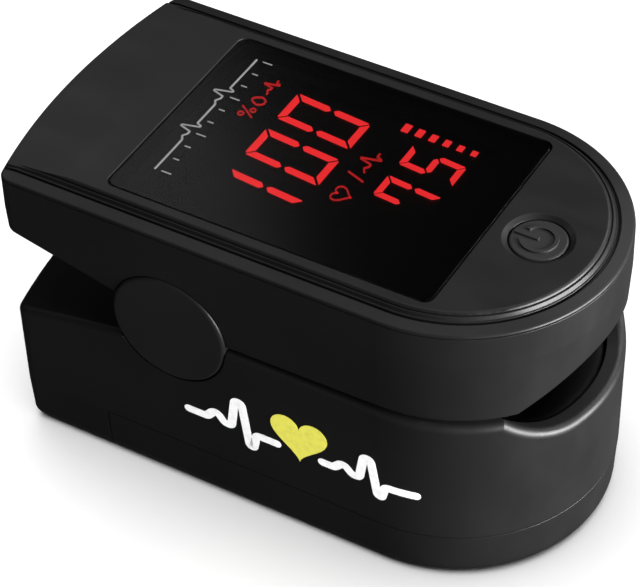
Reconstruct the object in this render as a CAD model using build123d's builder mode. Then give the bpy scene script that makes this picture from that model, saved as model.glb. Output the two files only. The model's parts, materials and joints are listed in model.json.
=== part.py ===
"""Fingertip pulse oximeter: two sprung jaws, a lit display, a power button and a battery bay.

Millimetres. +X points out of the finger mouth, +Y to the left, +Z up.
The origin is on the resting surface, under the middle of the body.
"""
from build123d import *
from math import acos, cos, degrees, hypot, pi, radians, sin, sqrt
import os

os.makedirs("parts", exist_ok=True)

# ---- Whole body ----
length = 57.0
width = 31.0
height = 32.0
front_x = length / 2
rear_x = -length / 2
half_width = width / 2
nose_centre_x = front_x - half_width
rear_sagitta = 2.0
corner_radius = 1.4
bow_radius = (half_width**2 + rear_sagitta**2) / (2 * rear_sagitta)
cavity_inset = 1.9
steepest_rim = 0.9
seam = 0.1
touch = 0.05
overlap = 0.1

# ---- Jaw hinge, an axis along Y ----
pivot_x = -9.0
pivot_z = 20.1
cap_radius = 6.0
cap_pocket_radius = 6.1
cap_pocket_y = 14.1
pin_radius = 1.5
pin_bore_radius = 1.55
pin_inner_y = 6.4
ear_radius = 3.4
ear_thickness = 1.2
upper_ear_y = 12.1
lower_ear_y = 10.7

ear_x_range = (pivot_x - ear_radius, pivot_x + ear_radius)
ear_web_top_z = 25.5
upper_root_z = 21.6
lower_root_z = 16.2
pin_shoulder = 0.6
pin_chamfer = 0.2
cap_fillet = 0.35

# ---- Torsion springs about the pins ----
spring_radius = 2.4
spring_wire_radius = 0.35
spring_inner_y = 7.2
spring_whole_turns = 3
spring_pitch = 0.8
spring_leg_reach = 4.6
spring_leg_bend = 0.7
spring_leg_hole_radius = 0.45
spring_leg_end = 0.2
upper_leg_angle = 60
lower_leg_angle = -60

# ---- Upper jaw levels ----
upper_bottom_z = 20.15
mouth_gap_z = 20.6
crease_z = 27.5
lid_seam_z = 30.9
lid_step_z = 30.45
lid_under_z = 30.2
lid_step_inset = 0.85
flange_edge_z = 31.25
flange_z = 31.45
valley_z = 31.12
ridge_z = 31.78
upper_draft = 0.4
valley_inset = 1.3
ridge_foot_inset = 1.6
ridge_inset = 1.95
plateau_inset = 2.15
groove_z = 31.6
panel_run_out = 2.0
rear_crease_x = -20.5
rear_edge_z = 31.38
rear_crease_blend = 1.0
upper_squeeze_points = ((-10.5, 20.85), (rear_x, 25.43))
squeeze_plate = 1.2
squeeze_plate_front_x = -12.6
upper_rim_rear_x = -7.0
upper_rim_fillet = 0.35
flange_fillet = 0.22
ridge_fillet = 0.12
plateau_fillet = 0.36
groove_start = 0.08

# ---- Lower jaw levels ----
lower_top_z = 19.85
cover_seam_z = 5.5
cover_rear_x = -17.0
lower_squeeze_points = ((-10.0, 18.3), (rear_x, 14.5))
lower_rim_rear_x = -6.5
lower_rim_inset = 0.05
lower_rim_fillet = 0.7
lower_crease_inset = 0.2
base_inset = 0.5
base_fillet = 1.6

# ---- Finger mouth: arch above the gap, scoop below it ----
arch_half_width = 10.4
arch_top_z = 24.2
scoop_floor_z = 16.7
scoop_flat_half_width = 4.5
scoop_radius = 7.45
mouth_cut_x = 17.4
mouth_cut_length = 12.0

# ---- Window, display and button ----
window_rear_x = -17.0
window_front_x = 16.2
window_half_width = 12.05
window_corner = 1.0
window_thickness = 0.95
window_ledge = 1.0
window_gap = 0.12
window_recess = 0.05
window_chamfer = 0.08
window_centre_x = (window_rear_x + window_front_x) / 2
window_length = window_front_x - window_rear_x
display_length = 28.4
display_width = 19.8
display_centre_x = -1.2
display_top_z = 30.6
display_corner = 0.6
segment_height = 0.12
button_x = 20.7
button_radius = 2.7
button_hole_radius = 2.8
button_ring_radius = 3.3
button_ring_depth = 0.3
button_flange_radius = 3.2
button_pocket_radius = 3.4
button_pocket_z = 30.7
button_flange_top_z = 30.6
button_flange_bottom_z = 30.2
button_stem_radius = 1.4
button_fillet = 0.25
button_top_z = 31.8

symbol_radius = 1.6
symbol_stroke = 0.36
symbol_height = 0.16

# ---- Lit segments: reading direction +Y, tops of the digits towards -X ----
segment_slant = 0.09
large_digit = {"height": 8.2, "width": 4.0, "stroke": 0.68, "gap": 0.2, "foot_x": -0.7}
small_digit = {"height": 5.75, "width": 2.9, "stroke": 0.58, "gap": 0.15, "foot_x": 10.0}
large_figures = (("bc", -8.45), ("abcdef", -1.95), ("abcdef", 3.85))
small_figures = (("abcf", -1.05), ("afgcd", 3.75))
bar_count = 6
bar_first_x = 2.5
bar_pitch = 1.44
bar_near_y = 8.45
bar_first_size = (0.7, 1.1)
bar_last_size = (0.56, 0.65)

# ---- Boards ----
board_bottom_z = 27.6
board_thickness = 0.9
board_top_z = board_bottom_z + board_thickness
board_inset = 2.6
board_rear_x = -19.0
board_hole_gap = 0.3
switch_size = 4.5
switch_corner = 0.4
switch_top_z = 29.4
switch_floor = 0.1
plunger_radius = 1.0
plunger_fit = 0.06
plunger_bottom_z = 28.95
plunger_top_z = 29.7
plunger_chamfer = 0.12
chip_range_x = (10.5, 17.5)
chip_range_y = (-3.5, 3.5)
chip_bottom_z = 26.6
chip_chamfer = 0.3
crystal_ranges = ((-15.0, -11.5), (3.0, 5.4), (26.7, board_bottom_z))
inductor_ranges = ((-15.5, -11.0), (-6.0, -3.0), (26.5, board_bottom_z))
regulator_ranges = ((19.5, 22.0), (-4.0, -2.4), (26.9, board_bottom_z))
resistor_bottom_z = 26.9
resistor_size = (1.6, 0.8)
resistor_pitch = (3.0, 16.0)
resistor_rows = (4, 2)
connector_range_x = (-4.6, -1.8)
connector_range_y = (-3.4, 3.4)
connector_bottom_z = 26.7
connector_slot_half_width = 2.6
connector_slot_range_z = (26.95, 27.25)

# ---- Trays, pads and optics ----
tray_rear_x = -4.6
tray_inset = 2.1
upper_tray_bottom_z = 24.6
upper_tray_top_z = 25.6
upper_pad_bottom_z = 20.9
upper_pad_crown_z = 23.4
upper_channel_half_width = 9.4
lower_tray_bottom_z = 12.45
lower_tray_top_z = 13.35
tray_rest_z = lower_tray_top_z + 0.05
pad_shelf_z = 15.2
lower_pad_top_z = 19.4
lower_pad_floor_z = 16.5
lower_channel_flat = 4.0
lower_channel_radius = 7.4
finger_stop_x = -2.8
finger_stop_top_z = 20.6
finger_stop_half_width = 8.0
pad_rear_x = -4.3
optic_x = 6.0
optic_length = 7.0
optic_width = 5.0
optic_gap = 0.1
optic_corner = 0.5
optic_board_length = 10.0
optic_board_width = 8.0
emitter_board_thickness = 0.6
emitter_window_top_z = 24.9
led_offset_x = 1.2
led_size = (1.6, 1.0)
pin_header_pitch = 1.27
pin_header_count = 4
pin_header_size = 0.5
pin_header_inset = 1.0
sensor_board_top_z = 14.2
photodiode_size = 4.0
photodiode_top_z = 15.0
tray_wall = 1.2
tray_rear_half_width = 13.4
tray_ribs = (((-0.8, 0.4), (-13.0, 13.0)), ((11.5, 12.7), (-10.0, 10.0)))
ribbon_slot_range_x = (-6.0, 0.5)
ribbon_slot_half_width = 3.0

# ---- Ribbon between the boards of the two jaws ----
ribbon_width = 5.0
ribbon_thickness = 0.15
ribbon_bends = (4.8, 2.4)
ribbon_route = ((1.2, 14.35), (-9.5, 14.35), (-9.5, 27.1), (-4.0, 27.1))

# ---- Screws ----
screw_shank_radius = 0.75
screw_hole_radius = 0.85
screw_head_radius = 1.25
screw_head_height = 0.5
screw_head_gap = 0.1
screw_root = 0.2
upper_screw_top_z = 28.8
upper_hole_top_z = 29.0
lower_screw_top_z = 15.0
lower_hole_top_z = 15.2
lower_boss_top_z = 15.9
boss_gap = 0.15
upper_boss_radius = 1.6
lower_boss_radius = 1.8
upper_screw_places = [(x, side * y) for x, y in ((-1.0, 11.6), (16.5, 10.9)) for side in (-1, 1)]
lower_screw_places = [(x, side * 12.0) for x in (-16.0, 13.0) for side in (-1, 1)]

# ---- Batteries: two AAA cells side by side ----
cell_radius = 5.2
cell_length = 44.5
cell_nub_length = 0.8
cell_nub_radius = 1.9
cell_y = 5.35
cell_z = 6.85
cell_rear_x = -23.4
cell_front_x = cell_rear_x + cell_length
cell_fillet = 0.4
contact_thickness = 0.3
contact_bottom_z = 3.9
contact_range_y = (2.2, 8.5)
rear_contact_x = -25.6
coil_start_x = -25.2
coil_pitch = 0.62
coil_height = 1.55
coil_radius = 2.6
coil_wire_radius = 0.22
leaf_range_z = (4.6, 9.6)
leaf_half_width = 2.0
contact_rib_bottom_z = 8.5
contact_rib_thickness = 0.55
contact_rib_half_width = 6.0

# ---- Battery cover ----
groove_count = 6
groove_first_x = -14.0
groove_pitch = 1.3
groove_width = 0.6
groove_half_length = 6.0
groove_depth = 0.3
arrow_x = -4.5
arrow_length = 4.0
arrow_half_width = 2.4
cover_plate = 1.3
cover_wall = 1.3
rail_bottom_z = 2.4
rail_top_z = 3.2
rail_outer_y = 13.5
skirt_y = 12.7
skirt_thickness = 0.8
tongue_inner_y = 12.95
tongue_bottom_z = 3.4
tongue_top_z = 4.2
rail_rear_x = -15.5
rail_front_x = 11.0
rail_root_z = 6.7


def outline(z, inset=0.0):
    """Plan shape of the body moved in by inset: round nose, straight sides, shallow rear bow."""
    side = half_width - inset
    bow = bow_radius - inset
    bow_centre_x = rear_x + bow_radius
    corner = max(corner_radius - inset, 0.3)
    corner_x = bow_centre_x - sqrt((bow - corner) ** 2 - (side - corner) ** 2)
    reach = bow / (bow - corner)
    tip_x = bow_centre_x + (corner_x - bow_centre_x) * reach
    tip_y = (side - corner) * reach
    with BuildSketch(Plane.XY.offset(z)) as shape:
        with BuildLine():
            Line((corner_x, -side), (nose_centre_x, -side))
            ThreePointArc((nose_centre_x, -side), (nose_centre_x + side, 0), (nose_centre_x, side))
            Line((nose_centre_x, side), (corner_x, side))
            TangentArc((corner_x, side), (tip_x, tip_y), tangent=(-1, 0))
            ThreePointArc((tip_x, tip_y), (rear_x + inset, 0), (tip_x, -tip_y))
            TangentArc((corner_x, -side), (tip_x, -tip_y), tangent=(-1, 0))
        make_face()
    return shape.sketch


def slab(bottom_z, top_z, inset=0.0, mode=Mode.ADD):
    """Upright slab with the body's plan shape."""
    extrude(outline(bottom_z, inset), amount=top_z - bottom_z, mode=mode)


def ring(bottom_z, top_z, outer_inset, inner_inset, mode=Mode.SUBTRACT):
    """Upright ring between two insets of the plan shape."""
    with BuildSketch(Plane.XY.offset(bottom_z)) as shape:
        add(outline(0, outer_inset))
        add(outline(0, inner_inset), mode=Mode.SUBTRACT)
    extrude(shape.sketch, amount=top_z - bottom_z, mode=mode)


def panel_shape(z, inset):
    """Plan of the raised panel of the lid: round nose and straight sides that run out past the rear."""
    side = half_width - inset
    end_x = rear_x - panel_run_out
    with BuildSketch(Plane.XY.offset(z)) as shape:
        with BuildLine():
            Polyline((nose_centre_x, -side), (end_x, -side), (end_x, side), (nose_centre_x, side))
            ThreePointArc((nose_centre_x, side), (nose_centre_x + side, 0), (nose_centre_x, -side))
        make_face()
    return shape.sketch


def panel_groove(bottom_z, outer_inset, inner_inset):
    """Cuts a groove along the sides and nose of the raised panel, between two insets."""
    with BuildSketch(Plane.XY.offset(bottom_z)) as shape:
        add(panel_shape(0, outer_inset))
        add(panel_shape(0, inner_inset), mode=Mode.SUBTRACT)
    extrude(shape.sketch, amount=height - bottom_z, mode=Mode.SUBTRACT)


def drafted_slab(bottom_z, bottom_inset, top_z, top_inset):
    """Slab whose walls lean between two insets."""
    loft([*outline(bottom_z, bottom_inset).faces(), *outline(top_z, top_inset).faces()])


def side_prism(points, mode=Mode.SUBTRACT, half=half_width + 2):
    """Prism that runs across the width, from a closed profile in X and Z."""
    with BuildSketch(Plane.XZ) as shape:
        with BuildLine():
            Polyline(*points, close=True)
        make_face()
    extrude(shape.sketch, amount=half, both=True, mode=mode)


def block(x_range, y_range, z_range, mode=Mode.ADD):
    """Plain block between three pairs of limits."""
    centre = [(low + high) / 2 for low, high in (x_range, y_range, z_range)]
    size = [high - low for low, high in (x_range, y_range, z_range)]
    with Locations(tuple(centre)):
        Box(*size, mode=mode)


def pivot_plane(side, y):
    """Plane across the hinge axis at a distance y from the middle, facing outwards."""
    return Plane(origin=(pivot_x, side * y, pivot_z), x_dir=(1, 0, 0), z_dir=(0, side, 0))


def pivot_disc(side, y, radius, thickness, mode=Mode.ADD):
    """Disc about the hinge axis."""
    with BuildSketch(pivot_plane(side, y)) as shape:
        Circle(radius)
    extrude(shape.sketch, amount=thickness, mode=mode)


def leg_hole(side, ear_y, angle):
    """Hole through an ear for the bent leg of a torsion spring."""
    reach_x = spring_leg_reach * cos(radians(angle))
    reach_z = spring_leg_reach * sin(radians(angle))
    centre = (pivot_x + reach_x, side * (ear_y - 0.1), pivot_z + reach_z)
    with BuildSketch(Plane(origin=centre, x_dir=(1, 0, 0), z_dir=(0, side, 0))) as shape:
        Circle(spring_leg_hole_radius)
    extrude(shape.sketch, amount=ear_thickness + 0.2, mode=Mode.SUBTRACT)


def upright(places, radius, bottom_z, top_z, mode=Mode.ADD):
    """Upright cylinders at a list of plan positions."""
    with BuildSketch(Plane.XY.offset(bottom_z)) as shape:
        with Locations(*places):
            Circle(radius)
    extrude(shape.sketch, amount=top_z - bottom_z, mode=mode)


def wall_rim(candidates):
    """Edges that run along the outer wall, out of a list of edges, ordered from the rear."""

    def runs_along(edge):
        middle = edge @ 0.5
        nose_reach = hypot(max(middle.X - nose_centre_x, 0), middle.Y)
        bow_reach = hypot(middle.X - rear_x - bow_radius, middle.Y)
        on_wall = max(nose_reach - half_width, bow_reach - bow_radius) > -cavity_inset / 2
        return on_wall and abs((edge % 0.5).Z) < steepest_rim

    return sorted(
        candidates.filter_by(runs_along), key=lambda edge: (round((edge @ 0.5).X, 3), (edge @ 0.5).Y)
    )


def line_z(points, x):
    """Height at x of the straight line through two points in X and Z."""
    (x0, z0), (x1, z1) = points
    return z0 + (x - x0) * (z1 - z0) / (x1 - x0)


def save(part, name):
    """Label a finished piece and write its STEP file."""
    part.label = name
    export_step(part, f"parts/{name}.step")


# ---- Upper housing: side walls, rear squeeze plate and hinge ears ----
with BuildPart() as upper_cavity:
    slab(upper_bottom_z - 2, lid_seam_z + 1, cavity_inset)
    side_prism(
        (
            (rear_x - 1, 0),
            (squeeze_plate_front_x, 0),
            (squeeze_plate_front_x, line_z(upper_squeeze_points, squeeze_plate_front_x) + squeeze_plate),
            (rear_x - 1, line_z(upper_squeeze_points, rear_x - 1) + squeeze_plate),
        )
    )

with BuildPart() as upper_opening:
    side_prism(
        (
            (rear_x - 1, upper_bottom_z - 2),
            (front_x + 1, upper_bottom_z - 2),
            (front_x + 1, mouth_gap_z),
            (upper_rim_rear_x, upper_bottom_z),
            upper_squeeze_points[0],
            (rear_x - 1, line_z(upper_squeeze_points, rear_x - 1)),
        ),
        mode=Mode.ADD,
    )
    with BuildSketch(Plane.YZ.offset(mouth_cut_x)):
        with BuildLine():
            ThreePointArc(
                (-arch_half_width, upper_bottom_z - overlap),
                (0, arch_top_z),
                (arch_half_width, upper_bottom_z - overlap),
            )
            Line((arch_half_width, upper_bottom_z - overlap), (-arch_half_width, upper_bottom_z - overlap))
        make_face()
    extrude(amount=mouth_cut_length)

with BuildPart() as upper_housing:
    drafted_slab(upper_bottom_z, upper_draft, crease_z, 0.0)
    slab(crease_z, lid_seam_z)
    add(upper_opening.part, mode=Mode.SUBTRACT)
    fillet(wall_rim(upper_housing.edges(Select.LAST)), radius=upper_rim_fillet)
    slab(lid_step_z, height, lid_step_inset, mode=Mode.SUBTRACT)
    add(upper_cavity.part, mode=Mode.SUBTRACT)
    for side in (-1, 1):
        ear = sorted((side * upper_ear_y, side * (upper_ear_y + ear_thickness)))
        root = sorted((side * (upper_ear_y + ear_thickness), side * (cap_pocket_y - overlap)))
        pivot_disc(side, upper_ear_y, ear_radius, ear_thickness)
        block(ear_x_range, ear, (pivot_z, ear_web_top_z))
        block(ear_x_range, root, (upper_root_z, ear_web_top_z))
        pivot_disc(side, cap_pocket_y, cap_pocket_radius, 3, mode=Mode.SUBTRACT)
        pivot_disc(side, upper_ear_y - 0.5, pin_bore_radius, 4, mode=Mode.SUBTRACT)
        leg_hole(side, upper_ear_y, upper_leg_angle)
save(upper_housing.part, "upper_housing")

# ---- Outer form of the lower jaw, shared by the housing and the battery cover ----
with BuildPart() as lower_form:
    drafted_slab(cover_seam_z, lower_crease_inset, lower_top_z, lower_rim_inset)
    drafted_slab(0, base_inset, cover_seam_z, lower_crease_inset)
    fillet(lower_form.edges().group_by(Axis.Z)[0], radius=base_fillet)

with BuildPart() as lower_cavity:
    slab(-1, lower_top_z + 1, cavity_inset)
    side_prism(
        (
            (rear_x - 1, line_z(lower_squeeze_points, rear_x - 1) - squeeze_plate),
            (squeeze_plate_front_x, line_z(lower_squeeze_points, squeeze_plate_front_x) - squeeze_plate),
            (squeeze_plate_front_x, height),
            (rear_x - 1, height),
        )
    )
    block((rear_x, cover_rear_x), (-half_width, half_width), (-2, cover_plate), mode=Mode.SUBTRACT)

# ---- Lower housing: side walls, rear squeeze plate, hinge ears and cover rails ----
with BuildPart() as lower_opening:
    side_prism(
        (
            (rear_x - 1, line_z(lower_squeeze_points, rear_x - 1)),
            lower_squeeze_points[0],
            (lower_rim_rear_x, lower_top_z),
            (lower_rim_rear_x, height),
            (rear_x - 1, height),
        ),
        mode=Mode.ADD,
    )
    scoop_top_z = lower_top_z + overlap
    scoop_rise = scoop_top_z - scoop_floor_z
    scoop_reach = scoop_flat_half_width + sqrt(scoop_radius**2 - (scoop_radius - scoop_rise) ** 2)
    with BuildSketch(Plane.YZ.offset(mouth_cut_x)):
        with BuildLine():
            Line((-scoop_flat_half_width, scoop_floor_z), (scoop_flat_half_width, scoop_floor_z))
            TangentArc(
                (scoop_flat_half_width, scoop_floor_z), (scoop_reach, scoop_top_z), tangent=(1, 0)
            )
            Line((scoop_reach, scoop_top_z), (-scoop_reach, scoop_top_z))
            TangentArc(
                (-scoop_flat_half_width, scoop_floor_z), (-scoop_reach, scoop_top_z), tangent=(-1, 0)
            )
        make_face()
    extrude(amount=mouth_cut_length)

with BuildPart() as lower_housing:
    add(lower_form.part)
    add(lower_opening.part, mode=Mode.SUBTRACT)
    fillet(wall_rim(lower_housing.edges(Select.LAST)), radius=lower_rim_fillet)
    add(lower_cavity.part, mode=Mode.SUBTRACT)
    side_prism(
        (
            (cover_rear_x, -1),
            (front_x + 1, -1),
            (front_x + 1, cover_seam_z),
            (cover_rear_x, cover_seam_z),
        )
    )
    for side in (-1, 1):
        ear = sorted((side * lower_ear_y, side * (lower_ear_y + ear_thickness)))
        root = sorted((side * (lower_ear_y + ear_thickness), side * (cap_pocket_y - overlap)))
        pivot_disc(side, lower_ear_y, ear_radius, ear_thickness)
        block(ear_x_range, ear, (tray_rest_z, pivot_z))
        block(ear_x_range, root, (tray_rest_z, lower_root_z))
        pivot_disc(side, cap_pocket_y, cap_pocket_radius, 3, mode=Mode.SUBTRACT)
        pivot_disc(side, lower_ear_y - 0.5, pin_radius, 5, mode=Mode.SUBTRACT)
        leg_hole(side, lower_ear_y, lower_leg_angle)
        skirt = sorted((side * (skirt_y - skirt_thickness), side * skirt_y))
        wall = sorted((side * (skirt_y - overlap), side * (half_width - cavity_inset + overlap)))
        foot = sorted((side * (skirt_y - overlap), side * rail_outer_y))
        block((rail_rear_x, rail_front_x), skirt, (rail_bottom_z, rail_root_z))
        block((rail_rear_x, rail_front_x), wall, (cover_seam_z, rail_root_z))
        block((rail_rear_x, rail_front_x), foot, (rail_bottom_z, rail_top_z))
    upright(lower_screw_places, lower_boss_radius, tray_rest_z, lower_boss_top_z)
    upright(
        lower_screw_places, screw_hole_radius, lower_tray_top_z, lower_hole_top_z, mode=Mode.SUBTRACT
    )
save(lower_housing.part, "lower_housing")

# ---- Battery cover: bottom plate with a skirt, tongues over the rails and thumb grooves ----
with BuildPart() as cover_hollow:
    slab(cover_plate, cover_seam_z + 1, base_inset + cover_wall)

with BuildPart() as battery_cover:
    add(lower_form.part)
    block((rear_x, cover_rear_x + seam), (-half_width, half_width), (-1, height), mode=Mode.SUBTRACT)
    block(
        (rear_x, front_x), (-half_width, half_width), (cover_seam_z - seam, height), mode=Mode.SUBTRACT
    )
    add(cover_hollow.part, mode=Mode.SUBTRACT)
    for side in (-1, 1):
        tongue = sorted((side * tongue_inner_y, side * (half_width - base_inset - cover_wall + overlap)))
        block((rail_rear_x, rail_front_x), tongue, (tongue_bottom_z, tongue_top_z))
    for step in range(groove_count):
        groove_x = groove_first_x + step * groove_pitch
        block(
            (groove_x, groove_x + groove_width),
            (-groove_half_length, groove_half_length),
            (-1, groove_depth),
            mode=Mode.SUBTRACT,
        )
    with BuildSketch(Plane.XY):
        with BuildLine():
            Polyline(
                (arrow_x, -arrow_half_width),
                (arrow_x + arrow_length, 0),
                (arrow_x, arrow_half_width),
                close=True,
            )
        make_face()
    extrude(amount=groove_depth, mode=Mode.SUBTRACT)
save(battery_cover.part, "battery_cover")

# ---- Top cover: sloping flange, raised panel with a stepped edge, window pocket and button hole ----
with BuildPart() as lid_panel:
    ridge_foot = panel_shape(valley_z - touch, ridge_foot_inset)
    loft([*ridge_foot.faces(), *panel_shape(ridge_z, ridge_inset).faces()])
    ridge_rim = lid_panel.edges().group_by(Axis.Z)[-1]
    fillet(ridge_rim.filter_by_position(Axis.X, rear_x, -rear_x), radius=ridge_fillet)
    panel_groove(groove_z, ridge_inset + groove_start, plateau_inset)
    extrude(panel_shape(ridge_z - overlap, plateau_inset), amount=height - ridge_z + overlap)
    plateau_rim = lid_panel.edges().group_by(Axis.Z)[-1]
    fillet(plateau_rim.filter_by_position(Axis.X, rear_x, -rear_x), radius=plateau_fillet)
    rear_slope = ((rear_crease_x, height), (rear_x, rear_edge_z))
    blend_start = (rear_crease_x + rear_crease_blend, height)
    blend_end = (rear_crease_x - rear_crease_blend, line_z(rear_slope, rear_crease_x - rear_crease_blend))
    slope_end_x = rear_x - 2 * panel_run_out
    with BuildSketch(Plane.XZ) as shape:
        with BuildLine():
            TangentArc(blend_start, blend_end, tangent=(-1, 0))
            Polyline(
                blend_end,
                (slope_end_x, line_z(rear_slope, slope_end_x)),
                (slope_end_x, height + 1),
                (blend_start[0], height + 1),
                blend_start,
            )
        make_face()
    extrude(shape.sketch, amount=half_width + 2, both=True, mode=Mode.SUBTRACT)
    slab(valley_z - touch, height, flange_fillet, mode=Mode.INTERSECT)

with BuildPart() as top_cover:
    slab(lid_seam_z + seam, flange_edge_z)
    drafted_slab(flange_edge_z, 0, flange_z, valley_inset)
    flange_rim = top_cover.edges().filter_by_position(Axis.Z, flange_edge_z - touch, flange_edge_z + touch)
    fillet(flange_rim, radius=flange_fillet)
    slab(lid_step_z + seam, flange_edge_z, lid_step_inset + seam)
    slab(lid_under_z, lid_step_z + 2 * overlap, cavity_inset + seam)
    panel_groove(valley_z, valley_inset, ridge_foot_inset)
    add(lid_panel.part)
    with BuildSketch(Plane.XY.offset(height - window_thickness)):
        with Locations((window_centre_x, 0)):
            RectangleRounded(
                window_length + 2 * window_gap, 2 * (window_half_width + window_gap), window_corner
            )
    extrude(amount=window_thickness + 1, mode=Mode.SUBTRACT)
    with BuildSketch(Plane.XY.offset(lid_under_z - 1)):
        with Locations((window_centre_x, 0)):
            Rectangle(window_length - 2 * window_ledge, 2 * (window_half_width - window_ledge))
    extrude(amount=3, mode=Mode.SUBTRACT)
    with BuildSketch(Plane.XY.offset(height - button_ring_depth)):
        with Locations((button_x, 0)):
            Circle(button_hole_radius)
    with BuildSketch(Plane.XY.offset(height)):
        with Locations((button_x, 0)):
            Circle(button_ring_radius)
    loft(mode=Mode.SUBTRACT)
    upright([(button_x, 0)], button_hole_radius, lid_under_z - 1, height, mode=Mode.SUBTRACT)
    upright([(button_x, 0)], button_pocket_radius, lid_under_z - 1, button_pocket_z, mode=Mode.SUBTRACT)
    upright(upper_screw_places, upper_boss_radius, upper_tray_top_z, lid_under_z + overlap)
    upright(
        upper_screw_places, screw_hole_radius, upper_tray_top_z - 1, upper_hole_top_z, mode=Mode.SUBTRACT
    )
save(top_cover.part, "top_cover")

# ---- Display window: flat smoked lens with a rounded rim ----
with BuildPart() as display_window:
    with BuildSketch(Plane.XY.offset(height - window_thickness)):
        with Locations((window_centre_x, 0)):
            RectangleRounded(window_length, 2 * window_half_width, window_corner)
    extrude(amount=window_thickness - window_recess)
    chamfer(display_window.faces().sort_by(Axis.Z)[-1].edges(), length=window_chamfer)
save(display_window.part, "display_window")

# ---- Main board, display block and lit segments ----
with BuildPart() as main_board:
    slab(board_bottom_z, board_top_z, board_inset)
    block((rear_x, board_rear_x), (-half_width, half_width), (0, height), mode=Mode.SUBTRACT)
    upright(
        upper_screw_places,
        upper_boss_radius + board_hole_gap,
        board_bottom_z - 1,
        board_top_z + 1,
        mode=Mode.SUBTRACT,
    )
save(main_board.part, "main_board")

with BuildPart() as led_display:
    with BuildSketch(Plane.XY.offset(board_top_z)):
        with Locations((display_centre_x, 0)):
            RectangleRounded(display_length, display_width, display_corner)
    extrude(amount=display_top_z - board_top_z)
save(led_display.part, "led_display")


def segment_shapes(cell):
    """Outlines of the seven bars of a digit, across (u) and up (v), from its near foot corner."""
    h, w, t = cell["height"], cell["width"], cell["stroke"]
    g, m = cell["gap"], h / 2
    upper = [(0, h - g), (t, h - t - g), (t, m + t / 2 + g), (t / 2, m + g), (0, m + t / 2 + g)]
    lower = [(u, h - v) for u, v in upper]
    return {
        "a": [(g, h), (w - g, h), (w - t - g, h - t), (t + g, h - t)],
        "b": [(w - u, v) for u, v in upper],
        "c": [(w - u, v) for u, v in lower],
        "d": [(g, 0), (w - g, 0), (w - t - g, t), (t + g, t)],
        "e": lower,
        "f": upper,
        "g": [
            (t / 2 + g, m),
            (t + g, m + t / 2),
            (w - t - g, m + t / 2),
            (w - t / 2 - g, m),
            (w - t - g, m - t / 2),
            (t + g, m - t / 2),
        ],
    }


with BuildPart() as display_segments:
    with BuildSketch(Plane.XY.offset(display_top_z)):
        for cell, figures in ((large_digit, large_figures), (small_digit, small_figures)):
            shapes = segment_shapes(cell)
            for lit, near_y in figures:
                for name in lit:
                    points = [
                        (cell["foot_x"] - v, near_y + u + segment_slant * v) for u, v in shapes[name]
                    ]
                    with BuildLine():
                        Polyline(*points, close=True)
                    make_face()
        for step in range(bar_count):
            part_way = step / (bar_count - 1)
            bar_size = [
                first + (last - first) * part_way for first, last in zip(bar_first_size, bar_last_size)
            ]
            with Locations((bar_first_x + step * bar_pitch, bar_near_y + bar_size[1] / 2)):
                Rectangle(*bar_size)
    extrude(amount=segment_height)
save(display_segments.part, "display_segments")

# ---- Power button with its raised symbol, and the switch below it ----
with BuildPart() as power_button:
    upright([(button_x, 0)], button_radius, button_flange_bottom_z, button_top_z)
    fillet(power_button.faces().sort_by(Axis.Z)[-1].edges(), radius=button_fillet)
    upright([(button_x, 0)], button_flange_radius, button_flange_bottom_z, button_flange_top_z)
    upright([(button_x, 0)], button_stem_radius, plunger_top_z + touch, button_flange_top_z)
    with BuildSketch(Plane.XY.offset(button_top_z)):
        with Locations((button_x, 0)):
            Circle(symbol_radius + symbol_stroke / 2)
            Circle(symbol_radius - symbol_stroke / 2, mode=Mode.SUBTRACT)
        with Locations((button_x - symbol_radius, 0)):
            Rectangle(2 * symbol_stroke, 4 * symbol_stroke, mode=Mode.SUBTRACT)
        with Locations((button_x - symbol_radius * 0.75, 0)):
            Rectangle(symbol_radius * 1.5, symbol_stroke)
    extrude(amount=symbol_height)
save(power_button.part, "power_button")

with BuildPart() as tact_switch:
    with BuildSketch(Plane.XY.offset(board_top_z)):
        with Locations((button_x, 0)):
            RectangleRounded(switch_size, switch_size, switch_corner)
    extrude(amount=switch_top_z - board_top_z)
    upright(
        [(button_x, 0)],
        plunger_radius + plunger_fit,
        board_top_z + switch_floor,
        height,
        mode=Mode.SUBTRACT,
    )
save(tact_switch.part, "tact_switch")

with BuildPart() as switch_plunger:
    upright([(button_x, 0)], plunger_radius, plunger_bottom_z, plunger_top_z)
    chamfer(switch_plunger.faces().sort_by(Axis.Z)[-1].edges(), length=plunger_chamfer)
save(switch_plunger.part, "switch_plunger")

# ---- Parts under the main board ----
with BuildPart() as processor_chip:
    block(chip_range_x, chip_range_y, (chip_bottom_z, board_bottom_z))
    chamfer(processor_chip.edges().filter_by(Axis.Z), length=chip_chamfer)
save(processor_chip.part, "processor_chip")

with BuildPart() as board_components:
    for ranges in (crystal_ranges, inductor_ranges, regulator_ranges):
        block(*ranges)
    with BuildSketch(Plane.XY.offset(resistor_bottom_z)):
        with GridLocations(*resistor_pitch, *resistor_rows):
            Rectangle(*resistor_size)
    extrude(amount=board_bottom_z - resistor_bottom_z)
save(board_components.part, "board_components")

with BuildPart() as ribbon_connector:
    block(connector_range_x, connector_range_y, (connector_bottom_z, board_bottom_z))
    block(
        (connector_range_x[0] - 1, ribbon_route[-1][0]),
        (-connector_slot_half_width, connector_slot_half_width),
        connector_slot_range_z,
        mode=Mode.SUBTRACT,
    )
save(ribbon_connector.part, "ribbon_connector")

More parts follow.
